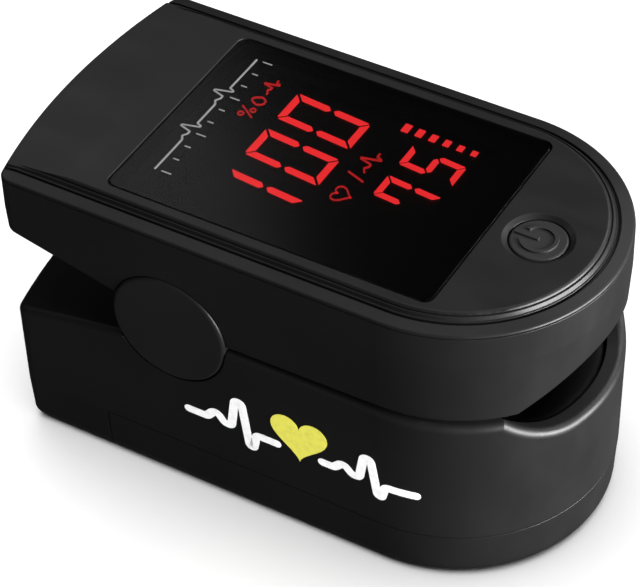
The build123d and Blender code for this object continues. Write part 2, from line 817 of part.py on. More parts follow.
# ---- Upper tray and pad, with the emitters that shine down into the finger ----
optic_range_x = (optic_x - optic_length / 2, optic_x + optic_length / 2)
optic_hole_x = (optic_range_x[0] - optic_gap, optic_range_x[1] + optic_gap)
optic_hole_y = (-optic_width / 2 - optic_gap, optic_width / 2 + optic_gap)
emitter_board_top_z = upper_tray_top_z + emitter_board_thickness
optic_board_x = (optic_x - optic_board_length / 2, optic_x + optic_board_length / 2)
optic_board_y = (-optic_board_width / 2, optic_board_width / 2)
across = (-half_width, half_width)

with BuildPart() as upper_tray:
    slab(upper_tray_bottom_z, upper_tray_top_z, tray_inset)
    block((rear_x, tray_rear_x), across, (0, height), mode=Mode.SUBTRACT)
    block(optic_hole_x, optic_hole_y, (0, height), mode=Mode.SUBTRACT)
    upright(upper_screw_places, screw_hole_radius, upper_tray_bottom_z - 1, height, mode=Mode.SUBTRACT)
    upright(
        upper_screw_places,
        screw_head_radius + screw_head_gap,
        upper_tray_bottom_z - 1,
        upper_tray_bottom_z + screw_head_height,
        mode=Mode.SUBTRACT,
    )
save(upper_tray.part, "upper_tray")

with BuildPart() as upper_finger_pad:
    slab(upper_pad_bottom_z, upper_tray_bottom_z - touch, tray_inset)
    block((rear_x, pad_rear_x), across, (0, height), mode=Mode.SUBTRACT)
    with BuildSketch(Plane.YZ.offset(finger_stop_x)):
        with BuildLine():
            ThreePointArc(
                (-upper_channel_half_width, upper_pad_bottom_z - overlap),
                (0, upper_pad_crown_z),
                (upper_channel_half_width, upper_pad_bottom_z - overlap),
            )
            Line(
                (upper_channel_half_width, upper_pad_bottom_z - overlap),
                (-upper_channel_half_width, upper_pad_bottom_z - overlap),
            )
        make_face()
    extrude(amount=length, mode=Mode.SUBTRACT)
    block(optic_hole_x, optic_hole_y, (0, height), mode=Mode.SUBTRACT)
save(upper_finger_pad.part, "upper_finger_pad")

with BuildPart() as emitter_window:
    block(
        optic_range_x,
        (-optic_width / 2, optic_width / 2),
        (upper_pad_crown_z + optic_gap, emitter_window_top_z),
    )
    fillet(emitter_window.edges().filter_by(Axis.Z), radius=optic_corner)
save(emitter_window.part, "emitter_window")

with BuildPart() as emitter_leds:
    with BuildSketch(Plane.XY.offset(emitter_window_top_z)):
        with Locations((optic_x - led_offset_x, 0), (optic_x + led_offset_x, 0)):
            Rectangle(*led_size)
    extrude(amount=upper_tray_top_z - emitter_window_top_z)
save(emitter_leds.part, "emitter_leds")

with BuildPart() as emitter_board:
    block(optic_board_x, optic_board_y, (upper_tray_top_z, emitter_board_top_z))
save(emitter_board.part, "emitter_board")

with BuildPart() as emitter_pins:
    with BuildSketch(Plane.XY.offset(emitter_board_top_z)):
        with Locations((optic_board_x[0] + pin_header_inset, 0)):
            with GridLocations(0, pin_header_pitch, 1, pin_header_count):
                Rectangle(pin_header_size, pin_header_size)
    extrude(amount=board_bottom_z - emitter_board_top_z)
save(emitter_pins.part, "emitter_pins")

with BuildPart() as upper_screws:
    upright(
        upper_screw_places,
        screw_head_radius,
        upper_tray_bottom_z,
        upper_tray_bottom_z + screw_head_height,
    )
    upright(
        upper_screw_places, screw_shank_radius, upper_tray_bottom_z + screw_root, upper_screw_top_z
    )
save(upper_screws.part, "upper_screws")

# ---- Lower tray and pad, with the sensor that looks up into the finger ----
front_bosses = [place for place in lower_screw_places if place[0] > 0]
bridge_x = (cell_front_x + touch, cell_front_x + touch + contact_thickness)
with BuildPart() as lower_tray:
    slab(lower_tray_bottom_z, lower_tray_top_z, tray_inset)
    ring(lower_tray_top_z, pad_shelf_z, tray_inset, tray_inset + tray_wall, mode=Mode.ADD)
    block((rear_x, tray_rear_x), across, (lower_tray_top_z, height), mode=Mode.SUBTRACT)
    rear_wall = ((tray_rear_x, tray_rear_x + tray_wall), (-tray_rear_half_width, tray_rear_half_width))
    for rib_x, rib_y in (rear_wall, *tray_ribs):
        block(rib_x, rib_y, (lower_tray_top_z - overlap, pad_shelf_z))
    block(
        ribbon_slot_range_x,
        (-ribbon_slot_half_width, ribbon_slot_half_width),
        (lower_tray_top_z, height),
        mode=Mode.SUBTRACT,
    )
    for contact_rib_x in (
        (rear_contact_x - touch - contact_rib_thickness, rear_contact_x - touch),
        (bridge_x[1] + touch, bridge_x[1] + touch + contact_rib_thickness),
    ):
        block(
            contact_rib_x,
            (-contact_rib_half_width, contact_rib_half_width),
            (contact_rib_bottom_z, lower_tray_bottom_z + overlap),
        )
    upright(front_bosses, lower_boss_radius + boss_gap, lower_tray_top_z, height, mode=Mode.SUBTRACT)
    upright(lower_screw_places, screw_hole_radius, 0, height, mode=Mode.SUBTRACT)
    upright(
        lower_screw_places,
        screw_head_radius + screw_head_gap,
        0,
        lower_tray_bottom_z + screw_head_height,
        mode=Mode.SUBTRACT,
    )
save(lower_tray.part, "lower_tray")

with BuildPart() as lower_finger_pad:
    slab(pad_shelf_z + touch, lower_pad_top_z, tray_inset)
    block((rear_x, pad_rear_x), across, (0, height), mode=Mode.SUBTRACT)
    channel_top_z = lower_pad_top_z + overlap
    channel_rise = channel_top_z - lower_pad_floor_z
    channel_reach = lower_channel_flat + sqrt(
        lower_channel_radius**2 - (lower_channel_radius - channel_rise) ** 2
    )
    with BuildSketch(Plane.YZ.offset(finger_stop_x)):
        with BuildLine():
            Line((-lower_channel_flat, lower_pad_floor_z), (lower_channel_flat, lower_pad_floor_z))
            TangentArc(
                (lower_channel_flat, lower_pad_floor_z), (channel_reach, channel_top_z), tangent=(1, 0)
            )
            Line((channel_reach, channel_top_z), (-channel_reach, channel_top_z))
            TangentArc(
                (-lower_channel_flat, lower_pad_floor_z), (-channel_reach, channel_top_z), tangent=(-1, 0)
            )
        make_face()
    extrude(amount=length, mode=Mode.SUBTRACT)
    block(optic_hole_x, optic_hole_y, (0, height), mode=Mode.SUBTRACT)
    upright(
        front_bosses, lower_boss_radius + boss_gap, 0, lower_boss_top_z + overlap, mode=Mode.SUBTRACT
    )
    block(
        (pad_rear_x, finger_stop_x),
        (-finger_stop_half_width, finger_stop_half_width),
        (lower_pad_top_z - overlap, finger_stop_top_z),
    )
save(lower_finger_pad.part, "lower_finger_pad")

with BuildPart() as sensor_board:
    block(optic_board_x, optic_board_y, (lower_tray_top_z, sensor_board_top_z))
save(sensor_board.part, "sensor_board")

with BuildPart() as photodiode:
    with BuildSketch(Plane.XY.offset(sensor_board_top_z)):
        with Locations((optic_x, 0)):
            Rectangle(photodiode_size, photodiode_size)
    extrude(amount=photodiode_top_z - sensor_board_top_z)
save(photodiode.part, "photodiode")

with BuildPart() as sensor_window:
    block(
        optic_range_x,
        (-optic_width / 2, optic_width / 2),
        (photodiode_top_z, lower_pad_floor_z - optic_gap),
    )
    fillet(sensor_window.edges().filter_by(Axis.Z), radius=optic_corner)
save(sensor_window.part, "sensor_window")

with BuildPart() as lower_screws:
    upright(
        lower_screw_places,
        screw_head_radius,
        lower_tray_bottom_z,
        lower_tray_bottom_z + screw_head_height,
    )
    upright(
        lower_screw_places, screw_shank_radius, lower_tray_bottom_z + screw_root, lower_screw_top_z
    )
save(lower_screws.part, "lower_screws")

# ---- Batteries, placed head to tail, and their contacts ----
for name, y, nub_forward in (("battery_1", cell_y, True), ("battery_2", -cell_y, False)):
    body_start_x = cell_rear_x if nub_forward else cell_rear_x + cell_nub_length
    with BuildPart() as cell:
        with BuildSketch(Plane.YZ.offset(body_start_x)):
            with Locations((y, cell_z)):
                Circle(cell_radius)
        extrude(amount=cell_length - cell_nub_length)
        fillet(cell.edges().filter_by(GeomType.CIRCLE), radius=cell_fillet)
        with BuildSketch(Plane.YZ.offset(cell_rear_x)):
            with Locations((y, cell_z)):
                Circle(cell_nub_radius)
        if nub_forward:
            extrude(amount=cell_length)
        else:
            extrude(amount=cell_length / 2)
    save(cell.part, name)

contact_range_z = (contact_bottom_z, lower_tray_bottom_z - touch)
rear_plate_x = (rear_contact_x, rear_contact_x + contact_thickness)
with BuildPart() as front_bridge_contact:
    block(bridge_x, (-contact_range_y[1], contact_range_y[1]), contact_range_z)
save(front_bridge_contact.part, "front_bridge_contact")

# Flat plate with a leaf that bows forward to the end of the cell.
with BuildPart() as rear_positive_contact:
    block(rear_plate_x, (-contact_range_y[1], -contact_range_y[0]), contact_range_z)
    leaf_tip_x = cell_rear_x - touch
    with BuildSketch(Plane.XZ.offset(cell_y - leaf_half_width)):
        with BuildLine():
            leaf_face = ThreePointArc(
                (rear_plate_x[1], leaf_range_z[0]), (leaf_tip_x, cell_z), (rear_plate_x[1], leaf_range_z[1])
            )
            offset(leaf_face, amount=contact_thickness, side=Side.LEFT)
        make_face()
    extrude(amount=2 * leaf_half_width)
save(rear_positive_contact.part, "rear_positive_contact")

with BuildPart() as rear_negative_contact:
    block(rear_plate_x, contact_range_y, contact_range_z)
    with BuildLine() as coil:
        Helix(
            pitch=coil_pitch,
            height=coil_height,
            radius=coil_radius,
            center=(coil_start_x, cell_y, cell_z),
            direction=(1, 0, 0),
        )
    with BuildSketch(Plane(origin=coil.line @ 0, z_dir=coil.line % 0)):
        Circle(coil_wire_radius)
    sweep(path=coil.line)
save(rear_negative_contact.part, "rear_negative_contact")

# ---- Hinge on the left side: pin, cap and torsion spring, then the same mirrored ----


def wire(path):
    """Round spring wire along a path."""
    with BuildSketch(Plane(origin=path @ 0, z_dir=path % 0)) as shape:
        Circle(spring_wire_radius)
    sweep(shape.sketch, path=path)


def leg(start, direction, end_y):
    """Spring leg: straight on from the coil, then along the hinge axis into its ear."""
    corner = start + direction * spring_leg_length
    with BuildLine() as route:
        FilletPolyline(start, corner, (corner.X, end_y, corner.Z), radius=spring_leg_bend)
    wire(route.line)


with BuildPart() as hinge_pin:
    pivot_disc(1, pin_inner_y, pin_radius, cap_pocket_y + pin_shoulder - pin_inner_y)
    chamfer(hinge_pin.edges().filter_by(GeomType.CIRCLE), length=pin_chamfer)

with BuildPart() as hinge_cap:
    pivot_disc(1, cap_pocket_y + seam, cap_radius, half_width - cap_pocket_y - seam)
    fillet(hinge_cap.faces().sort_by(Axis.Y)[-1].edges(), radius=cap_fillet)
    pivot_disc(1, cap_pocket_y, pin_radius, pin_shoulder, mode=Mode.SUBTRACT)

spring_lean = degrees(acos(spring_radius / spring_leg_reach))
coil_start_angle = lower_leg_angle - spring_lean
coil_end_angle = upper_leg_angle + spring_lean - 360
spring_height = spring_pitch * (spring_whole_turns + (coil_start_angle - coil_end_angle) / 360)
spring_rise = spring_pitch / (2 * pi * spring_radius)
spring_leg_length = sqrt((spring_leg_reach**2 - spring_radius**2) * (1 + spring_rise**2))
with BuildPart() as torsion_spring:
    with BuildLine() as coil:
        Helix(
            pitch=spring_pitch,
            height=spring_height,
            radius=spring_radius,
            center=(pivot_x, spring_inner_y, pivot_z),
            direction=(0, 1, 0),
        )
    coil_path = coil.line.rotate(Axis((pivot_x, 0, pivot_z), (0, 1, 0)), 90 - coil_start_angle)
    wire(coil_path)
    leg(coil_path @ 0, -(coil_path % 0), lower_ear_y + ear_thickness - spring_leg_end)
    leg(coil_path @ 1, coil_path % 1, upper_ear_y + ear_thickness - spring_leg_end)

for name, piece in (
    ("hinge_pin", hinge_pin),
    ("hinge_cap", hinge_cap),
    ("torsion_spring", torsion_spring),
):
    save(piece.part, f"left_{name}")
    with BuildPart() as twin:
        mirror(piece.part, about=Plane.XZ)
    save(twin.part, f"right_{name}")

# ---- Ribbon cable from the sensor board, past the hinge, to the main board ----
with BuildPart() as ribbon_cable:
    with BuildLine(Plane.XZ) as route:
        FilletPolyline(*ribbon_route, radius=ribbon_bends)
    with BuildSketch(Plane(origin=route.line @ 0, x_dir=(0, 1, 0), z_dir=route.line % 0)):
        Rectangle(ribbon_width, ribbon_thickness)
    sweep(path=route.line)
save(ribbon_cable.part, "ribbon_cable")
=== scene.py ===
"""Looks of the fingertip pulse oximeter: studio, materials, prints, lit signs, springs, ribbon and pads."""
import json
import math

import bmesh
import bpy
from mathutils import Matrix, Vector


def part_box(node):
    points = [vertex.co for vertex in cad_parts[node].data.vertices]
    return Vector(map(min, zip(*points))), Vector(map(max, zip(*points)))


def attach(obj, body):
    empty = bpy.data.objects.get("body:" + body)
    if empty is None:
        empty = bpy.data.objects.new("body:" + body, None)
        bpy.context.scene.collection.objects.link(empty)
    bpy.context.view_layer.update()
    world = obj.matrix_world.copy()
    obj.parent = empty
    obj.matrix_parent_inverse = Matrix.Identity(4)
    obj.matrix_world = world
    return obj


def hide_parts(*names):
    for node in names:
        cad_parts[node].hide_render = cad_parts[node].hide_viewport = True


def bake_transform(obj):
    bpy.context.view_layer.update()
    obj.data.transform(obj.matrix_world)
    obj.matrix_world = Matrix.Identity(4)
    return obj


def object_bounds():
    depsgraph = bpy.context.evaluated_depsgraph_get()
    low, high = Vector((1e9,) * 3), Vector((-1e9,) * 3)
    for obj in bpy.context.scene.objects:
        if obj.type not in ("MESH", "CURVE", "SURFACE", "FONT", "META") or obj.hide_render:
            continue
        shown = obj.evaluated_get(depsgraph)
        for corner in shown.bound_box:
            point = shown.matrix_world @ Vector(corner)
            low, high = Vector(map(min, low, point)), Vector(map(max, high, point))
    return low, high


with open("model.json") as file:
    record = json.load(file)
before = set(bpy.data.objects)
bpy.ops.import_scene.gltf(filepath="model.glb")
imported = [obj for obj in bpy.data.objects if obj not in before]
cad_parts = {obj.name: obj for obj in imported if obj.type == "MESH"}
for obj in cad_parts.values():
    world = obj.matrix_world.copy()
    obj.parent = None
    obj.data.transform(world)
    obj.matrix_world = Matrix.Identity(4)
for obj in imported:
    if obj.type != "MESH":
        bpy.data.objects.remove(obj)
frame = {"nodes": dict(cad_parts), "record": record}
cad_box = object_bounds()

MM = 0.001
nodes = frame["nodes"]
scene = bpy.context.scene
body_centre = (cad_box[0] + cad_box[1]) / 2


# ---------------------------------------------------------------- camera and studio
FLOOR_HALF = 3.0
WORLD_LIGHT = 0.045


def make_camera(azimuth, elevation, roll, distance, target, lens, shift):
    """Camera on a ray from the target, as the photograph was taken."""
    a, e, r = (math.radians(v) for v in (azimuth, elevation, roll))
    back = Vector((math.sin(a) * math.cos(e), -math.cos(a) * math.cos(e), math.sin(e)))
    right = Vector((math.cos(a), math.sin(a), 0))
    up = back.cross(right)
    right_rolled = right * math.cos(r) + up * math.sin(r)
    up_rolled = up * math.cos(r) - right * math.sin(r)
    data = bpy.data.cameras.new("camera")
    data.lens = lens
    data.sensor_width = 36
    data.shift_x, data.shift_y = shift
    data.clip_start = 0.01
    data.clip_end = 10
    camera = bpy.data.objects.new("camera", data)
    axes = Matrix((right_rolled, up_rolled, back)).transposed()
    camera.matrix_world = Matrix.Translation(target + back * distance) @ axes.to_4x4()
    scene.collection.objects.link(camera)
    scene.camera = camera


make_camera(
    azimuth=30.77,
    elevation=43.27,
    roll=-1.46,
    distance=0.2644,
    target=body_centre,
    lens=157.2,
    shift=(-0.0282, -0.0007),
)


def make_floor():
    """Plain pale paper under the object."""
    bm = bmesh.new()
    bmesh.ops.create_grid(bm, x_segments=2, y_segments=2, size=FLOOR_HALF)
    mesh = bpy.data.meshes.new("floor")
    bm.to_mesh(mesh)
    bm.free()
    floor = bpy.data.objects.new("floor", mesh)
    scene.collection.objects.link(floor)
    floor.visible_glossy = False
    return floor


def leave_out(collection, obj):
    """Lights that use the collection pass this object by."""
    collection.objects.link(obj)
    collection.collection_objects[-1].light_linking.link_state = "EXCLUDE"


floor = make_floor()
floor_only = bpy.data.collections.new("floor_only")
floor_only.objects.link(floor)
all_but_floor = bpy.data.collections.new("all_but_floor")
leave_out(all_but_floor, floor)
# Everything but the floor and the finger pads, which are left out where they are made.
outer_shell = bpy.data.collections.new("outer_shell")
leave_out(outer_shell, floor)
lid_only = bpy.data.collections.new("lid_only")
for node in ("top_cover", "display_window", "power_button"):
    lid_only.objects.link(nodes[node])
side_prints = bpy.data.collections.new("side_prints")


def softbox(name, azimuth, elevation, distance, size, radiance, receivers):
    """Rectangular light that faces the object and lights the receivers; azimuth runs from +X to +Y."""
    data = bpy.data.lights.new(name, "AREA")
    data.shape = "RECTANGLE"
    data.size, data.size_y = size
    data.energy = math.pi * size[0] * size[1] * radiance
    lamp = bpy.data.objects.new(name, data)
    a, e = math.radians(azimuth), math.radians(elevation)
    away = Vector((math.cos(a) * math.cos(e), math.sin(a) * math.cos(e), math.sin(e)))
    lamp.location = body_centre + away * distance
    lamp.rotation_mode = "QUATERNION"
    lamp.rotation_quaternion = (-away).to_track_quat("-Z", "Y")
    scene.collection.objects.link(lamp)
    lamp.light_linking.receiver_collection = receivers


softbox("key_softbox", 4, 14, 0.42, (0.34, 0.2), 50, receivers=outer_shell)
softbox("top_softbox", 100, 78, 0.6, (0.4, 0.24), 1.5, receivers=all_but_floor)
softbox("right_top_softbox", 72, 42, 0.6, (0.24, 0.24), 6.4, receivers=all_but_floor)
softbox("rear_softbox", 149, 41, 0.6, (0.4, 0.16), 1.4, receivers=lid_only)
softbox("near_strip", 240, 40, 0.6, (0.34, 0.06), 0.8, receivers=all_but_floor)
softbox("left_softbox", 190, 45, 0.6, (0.3, 0.2), 0.5, receivers=all_but_floor)
softbox("print_softbox", 290, 30, 0.6, (0.3, 0.2), 7, receivers=side_prints)
softbox("floor_light", 90, 88, 1.2, (1.6, 1.6), 4.8, receivers=floor_only)

world = bpy.data.worlds.new("studio")
world.use_nodes = True
background = world.node_tree.nodes["Background"]
background.inputs["Color"].default_value = (1, 1, 1, 1)
background.inputs["Strength"].default_value = WORLD_LIGHT
scene.world = world
scene.view_settings.view_transform = "Standard"


# ---------------------------------------------------------------- shader helpers
BEVEL_SAMPLES = 6
FLAT_BELOW, SHARP_ABOVE = 0.02, 0.3


class Shader:
    """A node material with a Principled shader and short ways to add what feeds it."""

    def __init__(self, name):
        self.material = bpy.data.materials.new(name)
        self.material.use_nodes = True
        self.tree = self.material.node_tree
        self.principled = self.tree.nodes["Principled BSDF"]

    def node(self, kind, **settings):
        made = self.tree.nodes.new("ShaderNode" + kind)
        for key, value in settings.items():
            setattr(made, key, value)
        return made

    def link(self, source, target):
        self.tree.links.new(source, target)

    def fixed(self, **values):
        """Plain values on the Principled shader's own sockets, named with underscores for spaces."""
        for key, value in values.items():
            self.principled.inputs[key.replace("_", " ")].default_value = value

    def place(self, scale=(1, 1, 1)):
        """Object coordinates, stretched."""
        coordinates = self.node("TexCoord")
        mapping = self.node("Mapping")
        mapping.inputs["Scale"].default_value = scale
        self.link(coordinates.outputs["Object"], mapping.inputs["Vector"])
        return mapping.outputs["Vector"]

    def noise(self, scale, detail=3.0, roughness=0.5, stretch=(1, 1, 1)):
        made = self.node("TexNoise")
        made.inputs["Scale"].default_value = scale
        made.inputs["Detail"].default_value = detail
        made.inputs["Roughness"].default_value = roughness
        self.link(self.place(stretch), made.inputs["Vector"])
        return made.outputs["Fac"]

    def remap(self, value, low, high, to_low=0.0, to_high=1.0):
        made = self.node("MapRange")
        for key, number in zip(("From Min", "From Max", "To Min", "To Max"), (low, high, to_low, to_high)):
            made.inputs[key].default_value = number
        self.link(value, made.inputs["Value"])
        return made.outputs["Result"]

    def mix(self, factor, first, second):
        """Colour mix; first and second are colours or sockets."""
        made = self.node("Mix", data_type="RGBA")
        self.link(factor, made.inputs["Factor"])
        for socket, value in ((made.inputs["A"], first), (made.inputs["B"], second)):
            if isinstance(value, tuple):
                socket.default_value = (*value, 1)
            else:
                self.link(value, socket)
        return made.outputs["Result"]

    def maths(self, operation, first, second):
        made = self.node("Math", operation=operation)
        for socket, value in zip(made.inputs, (first, second)):
            if isinstance(value, (int, float)):
                socket.default_value = value
            else:
                self.link(value, socket)
        return made.outputs["Value"]

    def edges(self, radius):
        """1 along sharp edges and 0 on flat ground."""
        rounded = self.node("Bevel", samples=BEVEL_SAMPLES)
        rounded.inputs["Radius"].default_value = radius
        geometry = self.node("NewGeometry")
        dot = self.node("VectorMath", operation="DOT_PRODUCT")
        self.link(rounded.outputs["Normal"], dot.inputs[0])
        self.link(geometry.outputs["Normal"], dot.inputs[1])
        return self.remap(self.maths("SUBTRACT", 1.0, dot.outputs["Value"]), FLAT_BELOW, SHARP_ABOVE)

    def bump(self, height, distance, strength, soft_edge=0.0):
        made = self.node("Bump")
        made.inputs["Strength"].default_value = strength
        made.inputs["Distance"].default_value = distance
        self.link(height, made.inputs["Height"])
        if soft_edge:
            rounded = self.node("Bevel", samples=BEVEL_SAMPLES)
            rounded.inputs["Radius"].default_value = soft_edge
            self.link(rounded.outputs["Normal"], made.inputs["Normal"])
        self.link(made.outputs["Normal"], self.principled.inputs["Normal"])

    def colour(self, socket):
        self.link(socket, self.principled.inputs["Base Color"])

    def roughness(self, socket):
        self.link(socket, self.principled.inputs["Roughness"])


def grey(level):
    return (level, level, level)


def moulded(name, dark, light, rough=(0.3, 0.4), specular=0.3, edge=0.00012):
    """Satin injection-moulded plastic: fine spark-eroded grain, faint cloudiness, worn paler edges."""
    s = Shader(name)
    cloud = s.noise(70, detail=4)
    wear = s.edges(edge)
    scuff = s.maths("MULTIPLY", wear, s.remap(s.noise(420, detail=5), 0.35, 0.65))
    body = s.mix(s.remap(cloud, 0.3, 0.7), dark, light)
    s.colour(s.mix(s.maths("MULTIPLY", scuff, 0.5), body, tuple(c * 2.2 + 0.004 for c in light)))
    fine = s.noise(2600, detail=2, roughness=0.6)
    smudge = s.remap(s.noise(120, detail=5, stretch=(1, 2.2, 1)), 0.3, 0.7, rough[0], rough[1])
    s.roughness(s.maths("SUBTRACT", smudge, s.maths("MULTIPLY", wear, 0.08)))
    s.bump(fine, 0.000012, strength=0.5, soft_edge=edge)
    s.fixed(Specular_IOR_Level=specular)
    return s.material


def metal(name, colour, rough=(0.2, 0.38), stretch=(1, 1, 1)):
    """Drawn or stamped metal with streaks and a little tarnish."""
    s = Shader(name)
    streak = s.noise(1800, detail=4, stretch=stretch)
    dull = tuple(c * 0.62 for c in colour)
    s.colour(s.mix(s.remap(s.noise(300, detail=5), 0.42, 0.72), colour, dull))
    s.roughness(s.remap(streak, 0.3, 0.7, *rough))
    s.bump(streak, 0.000006, strength=0.6)
    s.fixed(Metallic=1.0)
    return s.material


def solder_mask(name):
    """Green solder mask: traces show as faint raised lines under the lacquer."""
    s = Shader(name)
    brick = s.node("TexBrick")
    brick.inputs["Scale"].default_value = 420
    brick.inputs["Mortar Size"].default_value = 0.012
    s.link(s.place(), brick.inputs["Vector"])
    tint = s.mix(brick.outputs["Fac"], (0.006, 0.075, 0.028), (0.012, 0.13, 0.05))
    s.colour(s.mix(s.remap(s.noise(160, detail=3), 0.3, 0.7), tint, (0.008, 0.1, 0.04)))
    s.roughness(s.remap(s.noise(900), 0.3, 0.7, 0.25, 0.42))
    s.bump(brick.outputs["Fac"], 0.00003, strength=0.5)
    return s.material


def silicone(name):
    """Soft matt silicone with a dusty bloom."""
    s = Shader(name)
    dust = s.remap(s.noise(260, detail=6, roughness=0.65), 0.4, 0.75)
    s.colour(s.mix(dust, (0.006, 0.006, 0.0065), (0.013, 0.013, 0.014)))
    s.roughness(s.remap(s.noise(90, detail=4), 0.3, 0.7, 0.6, 0.8))
    s.bump(s.noise(1500, detail=3), 0.00002, strength=0.6, soft_edge=0.0003)
    s.fixed(Sheen_Weight=0.03, Sheen_Roughness=0.5, Specular_IOR_Level=0.2)
    return s.material


def smoked_acrylic(name):
    """Polished smoked acrylic that lets part of the display through."""
    s = Shader(name)
    haze = s.noise(150, detail=5, roughness=0.6)
    s.colour(s.mix(s.remap(haze, 0.3, 0.7), grey(0.0003), grey(0.0006)))
    s.roughness(s.remap(s.noise(700, detail=4, stretch=(1, 3, 1)), 0.35, 0.75, 0.14, 0.18))
    s.bump(s.noise(60, detail=2), 0.000004, strength=0.3, soft_edge=0.0001)
    s.fixed(Alpha=0.66, Specular_IOR_Level=0.17)
    return s.material


def lit(name, colour, strength):
    """Glowing red light bar with soft unevenness."""
    s = Shader(name)
    s.colour(s.mix(s.remap(s.noise(2500), 0.3, 0.7), colour, tuple(c * 0.8 for c in colour)))
    s.roughness(s.remap(s.noise(1200), 0.3, 0.7, 0.3, 0.5))
    s.fixed(Emission_Color=(*colour, 1), Emission_Strength=strength)
    return s.material


def display_face(name):
    """Matt potted display face, dark grey with a fine cast texture."""
    s = Shader(name)
    s.colour(s.mix(s.remap(s.noise(200, detail=4), 0.3, 0.7), grey(0.009), grey(0.013)))
    s.roughness(s.remap(s.noise(600), 0.3, 0.7, 0.5, 0.7))
    s.bump(s.noise(1800, detail=2), 0.000015, strength=0.4)
    return s.material


def ink(name, colour, rough=0.5):
    """Pad-printed ink: slightly uneven coverage."""
    s = Shader(name)
    s.colour(s.mix(s.remap(s.noise(1500, detail=4), 0.45, 0.75), colour, tuple(c * 0.86 for c in colour)))
    s.roughness(s.remap(s.noise(900), 0.3, 0.7, rough - 0.08, rough + 0.1))
    s.bump(s.noise(3000, detail=2), 0.00001, strength=0.5)
    return s.material


def foil(name, colour, rough, alpha=1.0):
    """Clear or tinted epoxy, film or coated silicon."""
    s = Shader(name)
    s.colour(s.mix(s.remap(s.noise(400, detail=4), 0.3, 0.7), colour, tuple(c * 0.7 for c in colour)))
    s.roughness(s.remap(s.noise(1000, detail=3), 0.3, 0.7, rough, rough + 0.12))
    s.bump(s.noise(900, detail=2), 0.000008, strength=0.4)
    s.fixed(Alpha=alpha)
    return s.material


def ribbon_film(name):
    """Amber polyimide ribbon with copper tracks along its length."""
    s = Shader(name)
    wave = s.node("TexWave", wave_type="BANDS", bands_direction="Y")
    wave.inputs["Scale"].default_value = 160
    s.link(s.place(), wave.inputs["Vector"])
    tracks = s.remap(wave.outputs["Fac"], 0.45, 0.55)
    s.colour(s.mix(tracks, (0.42, 0.16, 0.025), (0.62, 0.27, 0.07)))
    s.roughness(s.remap(s.noise(800), 0.3, 0.7, 0.22, 0.4))
    s.bump(tracks, 0.00002, strength=0.5)
    return s.material


def cell_jacket(name):
    """Shrink-film jacket of a cell: dark barrel with a copper-toned band, no wording."""
    s = Shader(name)
    split = s.node("SeparateXYZ")
    s.link(s.place(), split.inputs["Vector"])
    band = s.remap(split.outputs["X"], 0.0065, 0.0068)
    tint = s.mix(band, (0.03, 0.032, 0.038), (0.45, 0.2, 0.07))
    s.colour(s.mix(s.remap(s.noise(500, detail=5), 0.55, 0.8), tint, (0.2, 0.19, 0.18)))
    s.roughness(s.remap(s.noise(300, detail=4), 0.3, 0.7, 0.18, 0.32))
    s.bump(s.noise(250, detail=3), 0.00002, strength=0.3)
    s.fixed(Metallic=0.6)
    return s.material


BLACK_A, BLACK_B = grey(0.0055), grey(0.0075)
CAP_A, CAP_B = grey(0.008), grey(0.011)
BUTTON_A, BUTTON_B = grey(0.012), grey(0.016)
LIT_RED = (1.0, 0.03, 0.034)
finishes = {
    "housing_black": moulded("housing_black", BLACK_A, BLACK_B, rough=(0.38, 0.48)),
    "cover_black": moulded("cover_black", BLACK_A, BLACK_B, rough=(0.34, 0.46)),
    "cap_black": moulded("cap_black", CAP_A, CAP_B, rough=(0.38, 0.5)),
    "button_black": moulded(
        "button_black", BUTTON_A, BUTTON_B, rough=(0.36, 0.46), specular=0.42, edge=0.00006
    ),
    "tray_plastic": moulded("tray_plastic", grey(0.01), grey(0.016), rough=(0.45, 0.6)),
    "plunger_plastic": moulded("plunger_plastic", grey(0.012), grey(0.02), edge=0.0001),
    "connector_white": moulded("connector_white", (0.6, 0.57, 0.48), (0.7, 0.67, 0.58), edge=0.0001),
    "chip_black": moulded("chip_black", grey(0.012), grey(0.02), rough=(0.5, 0.65), edge=0.00008),
    "smoked_window": smoked_acrylic("smoked_window"),
    "display_body": display_face("display_body"),
    "lit_segments": lit("lit_segments", LIT_RED, 6.4),
    "switch_metal": metal("switch_metal", (0.62, 0.6, 0.57)),
    "circuit_board": solder_mask("circuit_board"),
    "ribbon_amber": ribbon_film("ribbon_amber"),
    "contact_metal": metal("contact_metal", (0.72, 0.7, 0.64), stretch=(1, 1, 6)),
    "pad_rubber": silicone("pad_rubber"),
    "optic_clear": foil("optic_clear", (0.16, 0.01, 0.015), 0.08, alpha=0.75),
    "emitter_epoxy": foil("emitter_epoxy", (0.75, 0.68, 0.5), 0.1),
    "sensor_silicon": foil("sensor_silicon", (0.02, 0.025, 0.06), 0.12),
    "screw_steel": metal("screw_steel", (0.55, 0.55, 0.57), rough=(0.25, 0.42)),
    "pin_steel": metal("pin_steel", (0.6, 0.6, 0.62), stretch=(1, 8, 1), rough=(0.15, 0.3)),
    "spring_steel": metal("spring_steel", (0.5, 0.5, 0.52), stretch=(1, 6, 1)),
    "cell_jacket": cell_jacket("cell_jacket"),
}


def finish_with(obj, slot):
    """One material all over."""
    obj.data.materials.clear()
    obj.data.materials.append(finishes[slot])


for row in frame["record"]["subparts"]:
    finish_with(nodes[row["node"]], row["material_slot"])


# ---------------------------------------------------------------- printed strokes and shapes
ARC_STEP = math.radians(15)
# Angles at which the round end of a stroke is cut across.
END_TURNS = (0.5, 1.0, 1.45)
# Path points lie no further apart than the spacing, and closer than the meeting distance they are one.
POINT_SPACING, MEETING = 0.4, 0.001
FILL_RINGS = 5
HEART_POINTS, HEART_FORMULA_WIDTH = 48, 32


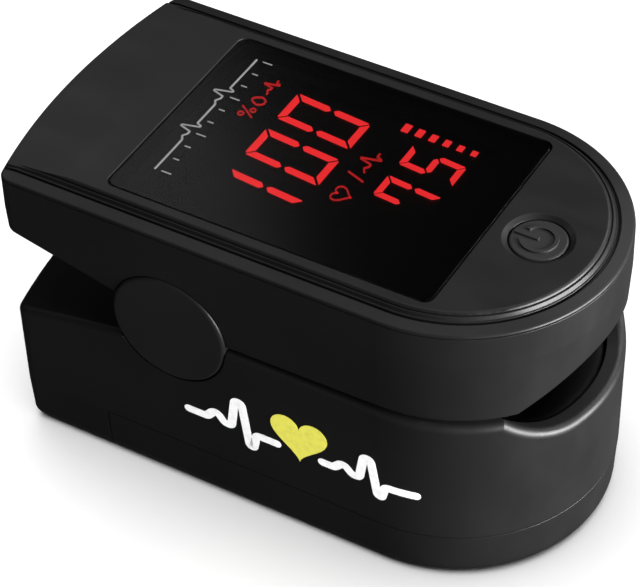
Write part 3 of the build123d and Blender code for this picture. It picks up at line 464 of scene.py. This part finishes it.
def arc_at(corner, before, after, radius):
    """Points of the round that replaces a corner of a path."""
    back, on = (before - corner).normalized(), (after - corner).normalized()
    half = back.angle(on) / 2
    reach = min(radius / math.tan(half), 0.49 * (before - corner).length, 0.49 * (after - corner).length)
    turn = math.pi - 2 * half
    real_radius = reach * math.tan(half)
    centre = corner + (back + on).normalized() * real_radius / math.sin(half)
    start = corner + back * reach - centre
    sign = 1 if back.cross(on) < 0 else -1
    count = max(2, math.ceil(turn / ARC_STEP))
    return [centre + Matrix.Rotation(sign * turn * i / count, 2) @ start for i in range(count + 1)]


def smooth_path(points, radius, closed=False):
    """Path with rounded corners and evenly close points."""
    points = [Vector(p) for p in points]
    last = len(points) - 1
    path = []
    for i, here in enumerate(points):
        if not closed and i in (0, last):
            path.append(here)
        else:
            path.extend(arc_at(here, points[i - 1], points[(i + 1) % len(points)], radius))
    ends = path[1:] + path[:1] if closed else path[1:]
    fine = []
    for a, b in zip(path, ends):
        pieces = math.ceil(((b - a).length - MEETING) / POINT_SPACING)
        fine.extend(a + (b - a) * k / pieces for k in range(pieces))
    return fine if closed else [*fine, path[-1]]


def stroke(bm, points, width, surface, thickness, closed=False):
    """Raised line with round ends along a flat path; surface maps (u, v, lift) to a place in millimetres."""
    count = len(points)
    rungs = []
    for i, here in enumerate(points):
        before = points[i - 1] if i or closed else here
        after = points[(i + 1) % count] if i < count - 1 or closed else here
        way = (after - before).normalized()
        rungs.append((here, way, width / 2))
    if not closed:
        for end, sign in ((0, -1), (-1, 1)):
            here, way, half = rungs[end]
            cap = [(here + way * sign * half * math.sin(a), way, half * math.cos(a)) for a in END_TURNS]
            rungs = cap[::-1] + rungs if end == 0 else rungs + cap
    rings = []
    for here, way, half in rungs:
        normal = Vector((-way.y, way.x)) * half
        left, right = here + normal, here - normal
        corners = ((left, 0), (left, thickness), (right, thickness), (right, 0))
        rings.append([bm.verts.new(surface(p.x, p.y, lift) * MM) for p, lift in corners])
    for a, b in zip(rings, rings[1:] + rings[:1] if closed else rings[1:]):
        for k in range(4):
            bm.faces.new((a[k], a[(k + 1) % 4], b[(k + 1) % 4], b[k]))
    if not closed:
        bm.faces.new(rings[0])
        bm.faces.new(rings[-1][::-1])


def filled(bm, outline, surface, thickness):
    """Raised solid shape from an outline that its own middle can see all of."""
    middle = sum(outline, Vector((0, 0))) / len(outline)
    shells = []
    for k in range(FILL_RINGS, 0, -1):
        share = k / FILL_RINGS
        shells.append([middle + (p - middle) * share for p in outline])
    for lift in (0, thickness):
        loops = [[bm.verts.new(surface(p.x, p.y, lift) * MM) for p in shell] for shell in shells]
        hub = bm.verts.new(surface(middle.x, middle.y, lift) * MM)
        for outer, inner in zip(loops, loops[1:]):
            for i in range(len(outer)):
                j = (i + 1) % len(outer)
                bm.faces.new((outer[i], outer[j], inner[j], inner[i]))
        for i in range(len(outline)):
            bm.faces.new((loops[-1][i], loops[-1][(i + 1) % len(outline)], hub))
        if lift == 0:
            foot = loops[0]
        else:
            for i in range(len(outline)):
                j = (i + 1) % len(outline)
                bm.faces.new((foot[i], foot[j], loops[0][j], loops[0][i]))


def heart(centre, size):
    """Outline of a heart with its point towards -v."""
    points = []
    for i in range(HEART_POINTS):
        t = 2 * math.pi * i / HEART_POINTS
        across = 16 * math.sin(t) ** 3
        up = 13 * math.cos(t) - 5 * math.cos(2 * t) - 2 * math.cos(3 * t) - math.cos(4 * t)
        points.append(Vector(centre) + Vector((across, up)) * size / HEART_FORMULA_WIDTH)
    return points


def finish_piece(name, bm, body, material):
    """Makes a piece from a bmesh, with its material, riding on a body."""
    bmesh.ops.recalc_face_normals(bm, faces=bm.faces)
    mesh = bpy.data.meshes.new(name)
    bm.to_mesh(mesh)
    bm.free()
    obj = bpy.data.objects.new(name, mesh)
    scene.collection.objects.link(obj)
    obj.data.materials.append(material)
    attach(obj, body)
    return obj


# ---------------------------------------------------------------- side mark: pulse trace and heart
# The wall of the lower jaw leans a little between its crease and its rim.
RIM_Z, RIM_INSET = 19.85, 0.05
CREASE_Z, CREASE_INSET = 5.5, 0.2
PRINT_LIFT = 0.03
cover_high = Vector(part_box("top_cover")[1]) / MM
half_width = cover_high.y
nose_centre_x = cover_high.x - half_width


def lower_side(u, v, lift):
    """Right outer wall of the lower jaw: u runs forwards and round the nose, v is the height."""
    inset = CREASE_INSET + (RIM_INSET - CREASE_INSET) * (v - CREASE_Z) / (RIM_Z - CREASE_Z)
    radius = half_width - inset
    if u <= nose_centre_x:
        return Vector((u, -radius - lift, v))
    turn = (u - nose_centre_x) / radius
    return Vector((nose_centre_x + (radius + lift) * math.sin(turn), -(radius + lift) * math.cos(turn), v))


def beat(start, height, width):
    """Corner points of one heartbeat on a trace: a small wave, then a spike up and down."""
    shape = ((0, 0), (0.16, 0.2), (0.3, 0), (0.42, 0), (0.56, 1), (0.74, -0.5), (0.84, 0), (1, 0))
    return [(start[0] + u * width, start[1] + v * height) for u, v in shape]


MARK_Z = 10.6
MARK_WIDTH, MARK_ROUND = 0.9, 0.52
MARK_BEAT = 6.4
HEART_X, HEART_Z, HEART_SIZE = 4.6, 12.6, 6.0
left_trace = [(-7.4, MARK_Z), *beat((-5.4, MARK_Z), 6.2, MARK_BEAT), (2.2, MARK_Z)]
right_trace = [(7.0, MARK_Z), *beat((8.2, MARK_Z), 5.0, MARK_BEAT), (16.6, MARK_Z)]
bm = bmesh.new()
for trace in (left_trace, right_trace):
    stroke(bm, smooth_path(trace, MARK_ROUND), MARK_WIDTH, lower_side, PRINT_LIFT)
white_ink = ink("white_ink", grey(0.86))
side_prints.objects.link(finish_piece("side_pulse_print", bm, "lower_jaw", white_ink))
bm = bmesh.new()
filled(bm, heart((HEART_X, HEART_Z), HEART_SIZE), lower_side, PRINT_LIFT)
yellow_ink = ink("yellow_ink", (0.7, 0.66, 0.07))
side_prints.objects.link(finish_piece("side_heart_print", bm, "lower_jaw", yellow_ink))


# ---------------------------------------------------------------- window prints and lit signs
window_low, window_high = (Vector(v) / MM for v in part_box("display_window"))
face_low, face_high = (Vector(v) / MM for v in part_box("display_segments"))


def level(z):
    """Flat printing plane seen from above with the reader's right towards +Y: u is +Y, v is -X."""
    return lambda u, v, lift: Vector((-v, u, z + lift))


# Faint pulse trace with tick marks along the rear edge of the window, on its face.
LENS_PRINT_LIFT = 0.02
TRACE_START, TRACE_END, TRACE_INSET = -8.2, 9.7, 2.9
TRACE_BEAT_HEIGHT, TRACE_BEAT_WIDTH = 1.5, 3.2
TRACE_WIDTH, TRACE_ROUND = 0.2, 0.12
TICK_COUNT, TICK_PITCH, TICK_WIDTH, TICK_GAP = 10, 1.99, 0.16, 0.75
LONG_TICK, SHORT_TICK, LONG_TICK_EVERY = 0.9, 0.5, 3

lens_print = bmesh.new()
lens_face = level(window_high.z)
trace_v = -window_low.x - TRACE_INSET
first_beat, second_beat = (
    beat((start, trace_v), TRACE_BEAT_HEIGHT, TRACE_BEAT_WIDTH) for start in (-3.6, 2.2)
)
lens_trace = [(TRACE_START, trace_v), *first_beat, *second_beat, (TRACE_END, trace_v)]
stroke(lens_print, smooth_path(lens_trace, TRACE_ROUND), TRACE_WIDTH, lens_face, LENS_PRINT_LIFT)
for tick in range(TICK_COUNT):
    u = TRACE_START + tick * TICK_PITCH
    length = LONG_TICK if tick % LONG_TICK_EVERY == 0 else SHORT_TICK
    ends = [Vector((u, trace_v - TICK_GAP)), Vector((u, trace_v - TICK_GAP - length))]
    stroke(lens_print, ends, TICK_WIDTH, lens_face, LENS_PRINT_LIFT)
finish_piece("window_scale_print", lens_print, "upper_jaw", ink("grey_ink", grey(0.22)))

# Red signs beside the figures: per cent, a drop, a heart, a slash and two short pulses.
THIN_LINE = 0.13
RING_RADIUS, RING_POINTS = 0.27, 14
SIGN_V = 11.0

signs = bmesh.new()
sign_plane, sign_lift = level(face_low.z), face_high.z - face_low.z


def placed(origin, shape):
    """A sign's corner points, moved from its own origin to a place on the display."""
    return [(origin[0] + u, origin[1] + v) for u, v in shape]


def ring_points(centre):
    """Points of a small ring of the per cent sign."""
    turns = (2 * math.pi * i / RING_POINTS for i in range(RING_POINTS))
    return [Vector(centre) + Vector((math.cos(t), math.sin(t))) * RING_RADIUS for t in turns]


def lit_line(points, width=0.17, radius=0.12, closed=False):
    """Lit stroke with rounded corners."""
    stroke(signs, smooth_path(points, radius, closed), width, sign_plane, sign_lift, closed)


def lit_loop(points):
    """Thin lit stroke round a closed curve."""
    stroke(signs, points, THIN_LINE, sign_plane, sign_lift, closed=True)


percent_origin, drop_foot, pulse_origin = (3.2, SIGN_V), (5.9, SIGN_V), (7.1, SIGN_V + 0.5)
for centre in placed(percent_origin, ((0.35, 1.2), (1.25, 0.4))):
    lit_loop(ring_points(centre))
lit_line(placed(percent_origin, ((0.3, 0), (1.4, 1.6))), width=0.14)
drop = placed(drop_foot, ((0, 1.7), (-0.62, 0.55), (-0.3, 0), (0.3, 0), (0.62, 0.55)))
lit_line(drop, closed=True, radius=0.35)
short_pulse = beat((0.2, 0), 1.2, 2.0)
lit_line(placed(pulse_origin, ((0, 0), *short_pulse)), width=0.16, radius=0.06)
lit_loop(heart((-1.95, -1.72), 2.0))
lit_line([(0.5, -2.6), (1.1, -0.8)])
lit_line(beat((1.7, -2.1), 1.5, 2.9), radius=0.08)
finish_piece("display_signs", signs, "upper_jaw", lit("lit_signs", LIT_RED, 2.8))

# Dark printed border on the back of the window, open over the display face.
BORDER_INSET, BORDER_GAP, BORDER_THICKNESS = 1.08, 0.01, 0.03
OPENING_ROUND = 0.8


def rectangle(left, right, rear, front):
    """Corners of a rectangle as the reader sees it, rear ones first."""
    return [Vector(p) for p in ((left, rear), (right, rear), (right, front), (left, front))]


def border(name, outer, inner, z, material):
    """Flat frame between a square outer edge and a rounded opening."""
    bm = bmesh.new()
    arcs = [arc_at(inner[i], inner[i - 1], inner[(i + 1) % 4], OPENING_ROUND) for i in range(4)]
    plane = level(z)
    layers = []
    for lift in (0, BORDER_THICKNESS):
        rims = [bm.verts.new(plane(p.x, p.y, lift) * MM) for p in outer]
        mouths = [[bm.verts.new(plane(p.x, p.y, lift) * MM) for p in arc] for arc in arcs]
        layers.append((rims, mouths))
        for i in range(4):
            j = (i + 1) % 4
            for a, b in zip(mouths[i], mouths[i][1:]):
                bm.faces.new((rims[i], a, b))
            bm.faces.new((rims[i], mouths[i][-1], mouths[j][0], rims[j]))
    (low_rims, low_mouths), (high_rims, high_mouths) = layers
    low_mouth, high_mouth = sum(low_mouths, []), sum(high_mouths, [])
    for low, high in ((low_rims, high_rims), (low_mouth, high_mouth)):
        for i in range(len(low)):
            j = (i + 1) % len(low)
            bm.faces.new((low[i], low[j], high[j], high[i]))
    finish_piece(name, bm, "upper_jaw", material)


border(
    "window_border",
    outer=rectangle(
        left=window_low.y + BORDER_INSET,
        right=window_high.y - BORDER_INSET,
        rear=-window_low.x - BORDER_INSET,
        front=-window_high.x + BORDER_INSET,
    ),
    inner=rectangle(left=-8.4, right=9.85, rear=13.2, front=-12.0),
    z=window_low.z - BORDER_GAP - BORDER_THICKNESS,
    material=ink("border_ink", grey(0.0008), rough=0.6),
)


def bend_copy(node, name):
    """Copy of a CAD node with its placement baked in; the node itself is hidden."""
    piece = nodes[node].copy()
    piece.data = nodes[node].data.copy()
    piece.name = name
    for key in [k for k in piece.keys() if k.startswith("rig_")]:
        del piece[key]
    scene.collection.objects.link(piece)
    world = piece.matrix_world.copy()
    piece.parent = None
    piece.matrix_world = world
    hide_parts(node)
    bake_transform(piece)
    return piece


for side in ("left", "right"):
    spring = bend_copy(
        f"{side}_torsion_spring", f"{side}_hinge_spring"
    )
ribbon = bend_copy("ribbon_cable", "flex_ribbon")


# ---------------------------------------------------------------- silicone finger pads
PAD_VOXEL = 0.32 * MM
PAD_SMOOTHING, PAD_SMOOTH_PASSES = 0.5, 3
RIB_PITCH, RIB_DEPTH = 1.5 * MM, 0.1 * MM
PLAIN_END = 1.5


def moulded_pad(node, name, body, up):
    """Pad with soft moulded edges and grip ribs where the finger lies; up is 1 if that side faces up."""
    piece = bpy.data.objects.new(name, nodes[node].data.copy())
    scene.collection.objects.link(piece)
    remesh = piece.modifiers.new("remesh", "REMESH")
    remesh.mode = "VOXEL"
    remesh.voxel_size = PAD_VOXEL
    smooth = piece.modifiers.new("smooth", "SMOOTH")
    smooth.factor = PAD_SMOOTHING
    smooth.iterations = PAD_SMOOTH_PASSES
    bpy.context.view_layer.update()
    evaluated = piece.evaluated_get(bpy.context.evaluated_depsgraph_get())
    mesh = bpy.data.meshes.new_from_object(evaluated)
    piece.modifiers.clear()
    piece.data = mesh
    low, high = (Vector(v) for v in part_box(node))
    for vertex, normal in zip(mesh.vertices, [v.normal.copy() for v in mesh.vertices]):
        facing = max(0.0, normal.z * up)
        from_end = min(vertex.co.x - low.x, high.x - vertex.co.x) / MM
        ribbed = min(1.0, max(0.0, from_end - PLAIN_END))
        wave = 0.5 + 0.5 * math.cos(2 * math.pi * vertex.co.x / RIB_PITCH)
        vertex.co -= normal * RIB_DEPTH * facing * ribbed * (1 - wave**2)
    for polygon in mesh.polygons:
        polygon.use_smooth = True
    mesh.materials.clear()
    mesh.materials.append(finishes["pad_rubber"])
    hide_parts(node)
    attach(piece, body)
    return piece


for pad in (
    moulded_pad("upper_finger_pad", "upper_silicone_pad", "upper_jaw", up=-1),
    moulded_pad("lower_finger_pad", "lower_silicone_pad", "lower_jaw", up=1),
):
    leave_out(outer_shell, pad)


# ---------------------------------------------------------------- floor
def paper():
    """Pale paper with faint fibre."""
    s = Shader("floor_paper")
    s.colour(s.mix(s.remap(s.noise(20), 0.3, 0.7), grey(0.78), grey(0.8)))
    s.roughness(s.remap(s.noise(80), 0.3, 0.7, 0.6, 0.7))
    s.fixed(Specular_IOR_Level=0.1)
    return s.material


floor.data.materials.append(paper())
